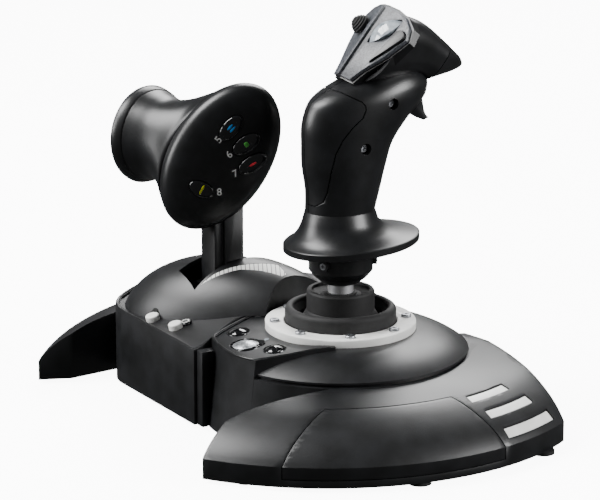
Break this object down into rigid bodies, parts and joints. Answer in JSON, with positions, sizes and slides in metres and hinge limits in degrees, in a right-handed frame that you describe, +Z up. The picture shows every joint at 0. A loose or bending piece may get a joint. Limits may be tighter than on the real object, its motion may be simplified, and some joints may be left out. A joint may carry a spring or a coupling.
{
  "type": "flight joystick",
  "caption": "Desk flight stick with a twisting grip on a sprung two-axis gimbal, a round base with a curved wing, and a joined throttle unit with its own wing.",
  "frame": {"origin": "where the stick's upright axis meets the table, on the underside of the middle rubber foot", "axes": "+X to the user's right, +Y away from the user, +Z up"},
  "size_m": [0.3166, 0.1911, 0.2213],
  "materials": {
    "satin_black_abs": "satin",
    "plain_black_abs": "matte",
    "soft_black_rubber": "matte",
    "white_abs": "satin",
    "gloss_black_abs": "gloss",
    "satin_grey_abs": "satin",
    "clear_lens": "clear",
    "bright_steel": "brushed",
    "screw_steel": "zinc",
    "circuit_board": "solder mask"
  },
  "bodies": {
    "base": {"stick_base_shell": "satin_black_abs", "stick_base_plate": "plain_black_abs", "clamp_ring": "white_abs", "ring_screws": "screw_steel", "boot_ring": "soft_black_rubber", "gimbal_housing": "plain_black_abs", "pitch_springs": "bright_steel", "status_lens": "clear_lens", "right_wing": "satin_black_abs", "left_wing": "satin_black_abs", "right_wing_panel": "satin_black_abs", "left_wing_panel": "satin_black_abs", "wing_stripes": "white_abs", "wing_plates": "plain_black_abs", "throttle_base_shell": "satin_black_abs", "throttle_base_plate": "plain_black_abs", "throttle_dome": "satin_black_abs", "throttle_scale": "white_abs", "lever_shaft": "bright_steel", "friction_pads": "soft_black_rubber", "ballast_plates": "bright_steel", "main_circuit_board": "circuit_board", "link_bridge": "satin_black_abs", "cable_grommet": "soft_black_rubber", "rubber_feet": "soft_black_rubber", "base_screws": "screw_steel"},
    "gimbal_yoke": {"gimbal_yoke": "plain_black_abs", "roll_springs": "bright_steel"},
    "stick": {"stick_shaft": "bright_steel", "boot_cup": "soft_black_rubber"},
    "grip": {"grip_left_shell": "satin_black_abs", "grip_right_shell": "satin_black_abs", "palm_insert": "soft_black_rubber", "hand_rest": "satin_black_abs", "grip_collar": "satin_black_abs", "grip_screws": "screw_steel", "grip_circuit_board": "circuit_board", "head_body": "satin_black_abs", "head_plate": "satin_grey_abs", "nose_cap": "satin_black_abs"},
    "trigger": {"trigger": "satin_black_abs"},
    "hat_carrier": {"hat_carrier": "soft_black_rubber"},
    "hat": {"hat": "soft_black_rubber"},
    "lens_button": {"lens_button": "clear_lens"},
    "teardrop_button": {"teardrop_button": "gloss_black_abs"},
    "guide_button": {"guide_button": "white_abs"},
    "view_button": {"view_button": "gloss_black_abs"},
    "menu_button": {"menu_button": "gloss_black_abs"},
    "share_button": {"share_button": "gloss_black_abs"},
    "throttle_button_a": {"throttle_button_a": "white_abs"},
    "throttle_button_b": {"throttle_button_b": "white_abs"},
    "lever": {"lever_arm": "satin_black_abs", "palm_shell": "satin_black_abs", "face_shell": "satin_black_abs", "end_cap": "satin_black_abs"},
    "finger_rocker": {"finger_rocker": "satin_black_abs"},
    "thumb_button_5": {"thumb_button_5": "gloss_black_abs"},
    "thumb_button_6": {"thumb_button_6": "gloss_black_abs"},
    "thumb_button_7": {"thumb_button_7": "gloss_black_abs"},
    "thumb_button_8": {"thumb_button_8": "gloss_black_abs"}
  },
  "joints": [
    {"name": "stick_pitch", "type": "hinge", "parent": "base", "child": "gimbal_yoke", "pos_m": [0, 0, 0.046], "axis": [1, 0, 0], "range_deg": [-13, 13], "stiffness_Nm_per_rad": 1.6},
    {"name": "stick_roll", "type": "hinge", "parent": "gimbal_yoke", "child": "stick", "pos_m": [0, 0, 0.046], "axis": [0, 1, 0], "range_deg": [-13, 13], "stiffness_Nm_per_rad": 1.6},
    {"name": "grip_twist", "type": "hinge", "parent": "stick", "child": "grip", "pos_m": [0, 0, 0.09], "axis": [0, 0, 1], "range_deg": [-15, 15], "stiffness_Nm_per_rad": 0.6},
    {"name": "trigger_pull", "type": "hinge", "parent": "grip", "child": "trigger", "pos_m": [0, 0.0405, 0.171], "axis": [1, 0, 0], "range_deg": [-7, 0], "stiffness_Nm_per_rad": 0.12},
    {"name": "hat_tilt_across", "type": "hinge", "parent": "grip", "child": "hat_carrier", "pos_m": [-0.00875, 0.02266, 0.20571], "axis": [0, 0.6394, 0.7688], "range_deg": [-7, 7], "stiffness_Nm_per_rad": 0.05},
    {"name": "hat_tilt_along", "type": "hinge", "parent": "hat_carrier", "child": "hat", "pos_m": [-0.00875, 0.02266, 0.20571], "axis": [0.9511, -0.2376, 0.1976], "range_deg": [-7, 7], "stiffness_Nm_per_rad": 0.05},
    {"name": "lens_press", "type": "slide", "parent": "grip", "child": "lens_button", "axis": [-0.309, 0.7312, -0.6081], "range_m": [0, 0.001], "stiffness_N_per_m": 400},
    {"name": "teardrop_press", "type": "slide", "parent": "grip", "child": "teardrop_button", "axis": [-0.309, 0.7312, -0.6081], "range_m": [0, 0.001], "stiffness_N_per_m": 400},
    {"name": "guide_press", "type": "slide", "parent": "base", "child": "guide_button", "axis": [0, 0.1289, -0.9917], "range_m": [0, 0.0012], "stiffness_N_per_m": 400},
    {"name": "view_press", "type": "slide", "parent": "base", "child": "view_button", "axis": [0, 0.1289, -0.9917], "range_m": [0, 0.0012], "stiffness_N_per_m": 400},
    {"name": "menu_press", "type": "slide", "parent": "base", "child": "menu_button", "axis": [0, 0.1289, -0.9917], "range_m": [0, 0.0012], "stiffness_N_per_m": 400},
    {"name": "share_press", "type": "slide", "parent": "base", "child": "share_button", "axis": [0, 0.1289, -0.9917], "range_m": [0, 0.0012], "stiffness_N_per_m": 400},
    {"name": "throttle_a_press", "type": "slide", "parent": "base", "child": "throttle_button_a", "axis": [0, 0.2425, -0.9701], "range_m": [0, 0.0012], "stiffness_N_per_m": 400},
    {"name": "throttle_b_press", "type": "slide", "parent": "base", "child": "throttle_button_b", "axis": [0, 0.2425, -0.9701], "range_m": [0, 0.0012], "stiffness_N_per_m": 400},
    {"name": "lever_swing", "type": "hinge", "parent": "base", "child": "lever", "pos_m": [-0.074, -0.0305, 0.018], "axis": [1, 0, 0], "range_deg": [-27, 12]},
    {"name": "thumb_5_press", "type": "slide", "parent": "lever", "child": "thumb_button_5", "axis": [-0.9403, 0.3404, 0], "range_m": [0, 0.001], "stiffness_N_per_m": 400},
    {"name": "thumb_6_press", "type": "slide", "parent": "lever", "child": "thumb_button_6", "axis": [-0.9403, 0.3404, 0], "range_m": [0, 0.001], "stiffness_N_per_m": 400},
    {"name": "thumb_7_press", "type": "slide", "parent": "lever", "child": "thumb_button_7", "axis": [-0.9403, 0.3404, 0], "range_m": [0, 0.001], "stiffness_N_per_m": 400},
    {"name": "thumb_8_press", "type": "slide", "parent": "lever", "child": "thumb_button_8", "axis": [-0.9403, 0.3404, 0], "range_m": [0, 0.001], "stiffness_N_per_m": 400},
    {"name": "rocker_tilt", "type": "hinge", "parent": "lever", "child": "finger_rocker", "pos_m": [-0.0946, -0.0244, 0.137], "axis": [0, 0, 1], "range_deg": [-4, 4], "stiffness_Nm_per_rad": 0.08}
  ]
}
